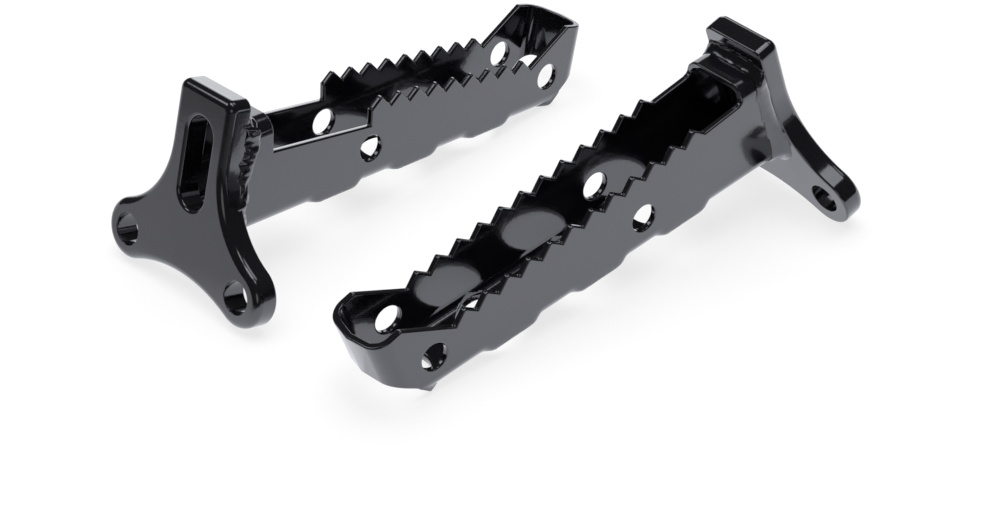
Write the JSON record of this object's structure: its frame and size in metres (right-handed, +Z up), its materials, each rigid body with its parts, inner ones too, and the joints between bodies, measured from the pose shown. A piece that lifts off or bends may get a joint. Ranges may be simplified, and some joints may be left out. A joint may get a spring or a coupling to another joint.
{
  "type": "pair of foot pegs",
  "caption": "Bolt-on motorcycle foot pegs: open, toothed channel treads welded to slotted mounting plates, painted gloss black.",
  "frame": {"origin": "middle of the pair's box, on the ground that both pegs lie on", "axes": "+X along the left peg's tread towards its tip, +Y across it, +Z up"},
  "size_m": [0.181, 0.1714, 0.0651],
  "materials": {
    "black_paint": "gloss black paint over welded steel",
    "painted_weld": "gloss black paint over a rippled weld bead"
  },
  "bodies": {
    "root": {"left_mounting_plate": "black_paint", "left_tread": "black_paint", "left_weld_bead": "painted_weld", "right_mounting_plate": "black_paint", "right_tread": "black_paint", "right_weld_bead": "painted_weld"}
  },
  "joints": []
}
